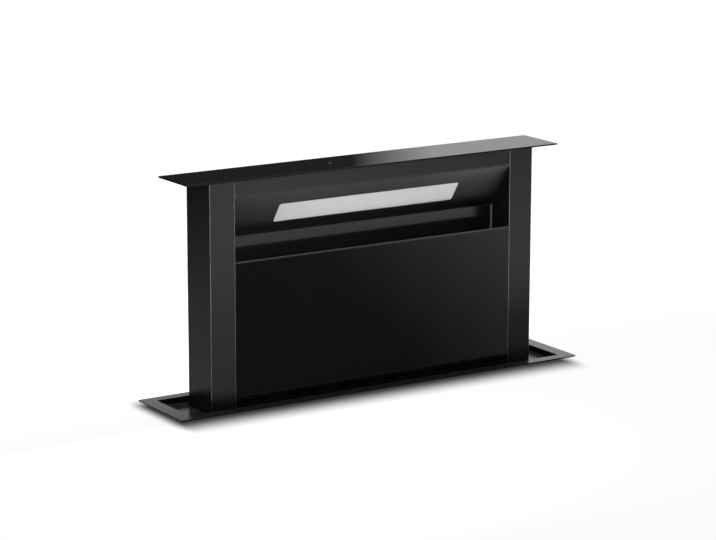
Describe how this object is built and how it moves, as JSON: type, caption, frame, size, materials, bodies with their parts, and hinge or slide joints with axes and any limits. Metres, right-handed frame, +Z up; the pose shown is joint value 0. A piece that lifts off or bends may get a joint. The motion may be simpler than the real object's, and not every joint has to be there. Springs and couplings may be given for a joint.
{
  "type": "downdraft vent",
  "caption": "Extractor that rises from a kitchen worktop: slotted tower with a glass front and lid, worktop frame, screw lift in a casing and a scroll blower with a round duct outlet.",
  "frame": {"origin": "middle of the base: on the floor under the floor rails, at the middle of the overall width and depth", "axes": "+X to the right along the worktop, +Y from the hob side (glass front) to the back where the blower hangs, +Z up"},
  "size_m": [0.9, 0.3068, 1.0343],
  "materials": {
    "black_steel": "black coated steel, satin with a slight gloss",
    "black_glass": "back-painted black glass, polished",
    "zinc_steel": "galvanised sheet steel",
    "bright_steel": "ground and polished steel",
    "cast_alloy": "die-cast, matt",
    "aluminium": "mill finish",
    "bronze": "machined bronze",
    "black_plastic": "moulded, matt",
    "grey_plastic": "moulded, matt",
    "frosted_plastic": "frosted light diffuser",
    "circuit_board": "solder-masked board",
    "rubber": "matt"
  },
  "bodies": {
    "root": {"worktop_frame": "black_steel", "frame_gasket": "rubber", "column_wiper": "rubber", "casing_front": "zinc_steel", "casing_back": "zinc_steel", "casing_end_left": "zinc_steel", "casing_end_right": "zinc_steel", "casing_pan": "zinc_steel", "floor_rail_left": "zinc_steel", "floor_rail_right": "zinc_steel", "lift_foot_left": "cast_alloy", "lift_foot_right": "cast_alloy", "upper_bracket_left": "cast_alloy", "upper_bracket_right": "cast_alloy", "guide_rod_left": "bright_steel", "guide_rod_right": "bright_steel", "lift_gearbox": "black_plastic", "lift_motor": "zinc_steel", "limit_switch_upper": "black_plastic", "limit_switch_lower": "black_plastic", "control_box": "grey_plastic", "control_box_lid": "grey_plastic", "cable_gland": "black_plastic", "duct_collar": "black_plastic", "damper_pin": "bright_steel", "volute_front": "black_plastic", "volute_back": "black_plastic", "fan_motor": "zinc_steel"},
    "tower": {"post_left": "black_steel", "post_right": "black_steel", "head_beam": "black_steel", "tower_back": "black_steel", "duct_back": "black_steel", "lower_front": "black_steel", "tower_base": "zinc_steel", "lid_glass": "black_glass", "lid_carrier": "black_steel", "touch_board": "circuit_board", "side_rail_left": "black_plastic", "side_rail_right": "black_plastic", "filter_ledge": "zinc_steel", "carriage_left": "black_plastic", "carriage_right": "black_plastic", "lift_nut_left": "bronze", "lift_nut_right": "bronze", "light_panel": "black_steel", "light_diffuser": "frosted_plastic", "led_board": "circuit_board", "filter_frame_left": "aluminium", "filter_frame_right": "aluminium", "filter_mesh_left": "aluminium", "filter_mesh_right": "aluminium"},
    "front_panel": {"front_glass": "black_glass", "front_glass_carrier": "black_steel"},
    "impeller": {"impeller": "grey_plastic"},
    "flap_front": {"damper_flap_front": "grey_plastic"},
    "flap_rear": {"damper_flap_rear": "grey_plastic"},
    "screw_left": {"lift_screw_left": "bright_steel"},
    "screw_right": {"lift_screw_right": "bright_steel"},
    "shaft": {"cross_shaft": "bright_steel"}
  },
  "joints": [
    {"name": "tower_lift", "type": "slide", "parent": "root", "child": "tower", "axis": [0, 0, 1], "range_m": [-0.4285, 0]},
    {"name": "front_panel_pull", "type": "slide", "parent": "tower", "child": "front_panel", "axis": [0, -1, 0], "range_m": [0, 0.1]},
    {"name": "impeller_spin", "type": "hinge", "parent": "root", "child": "impeller", "pos_m": [0.04, 0, 0.3023], "axis": [0, 1, 0], "continuous": true},
    {"name": "flap_front_swing", "type": "hinge", "parent": "root", "child": "flap_front", "pos_m": [-0.1843, 0.0774, 0.4335], "axis": [0, 0, 1], "range_deg": [-78, 0], "stiffness_Nm_per_rad": 0.01},
    {"name": "flap_rear_swing", "type": "hinge", "parent": "root", "child": "flap_rear", "pos_m": [-0.1843, 0.0774, 0.4335], "axis": [0, 0, 1], "range_deg": [0, 78], "stiffness_Nm_per_rad": 0.01},
    {"name": "screw_left_turn", "type": "hinge", "parent": "root", "child": "screw_left", "pos_m": [-0.3778, -0.0584, 0.3], "axis": [0, 0, 1], "range_deg": [0, 9645]},
    {"name": "screw_right_turn", "type": "hinge", "parent": "root", "child": "screw_right", "pos_m": [0.3778, -0.0584, 0.3], "axis": [0, 0, 1], "range_deg": [0, 9645]},
    {"name": "cross_shaft_turn", "type": "hinge", "parent": "root", "child": "shaft", "pos_m": [0, -0.0584, 0.0415], "axis": [1, 0, 0], "range_deg": [0, 9645]}
  ],
  "couplings": [
    {"joint": "screw_left_turn", "follows": "tower_lift", "rad_per_m": -392.7},
    {"joint": "screw_right_turn", "follows": "tower_lift", "rad_per_m": -392.7},
    {"joint": "cross_shaft_turn", "follows": "tower_lift", "rad_per_m": -392.7}
  ]
}
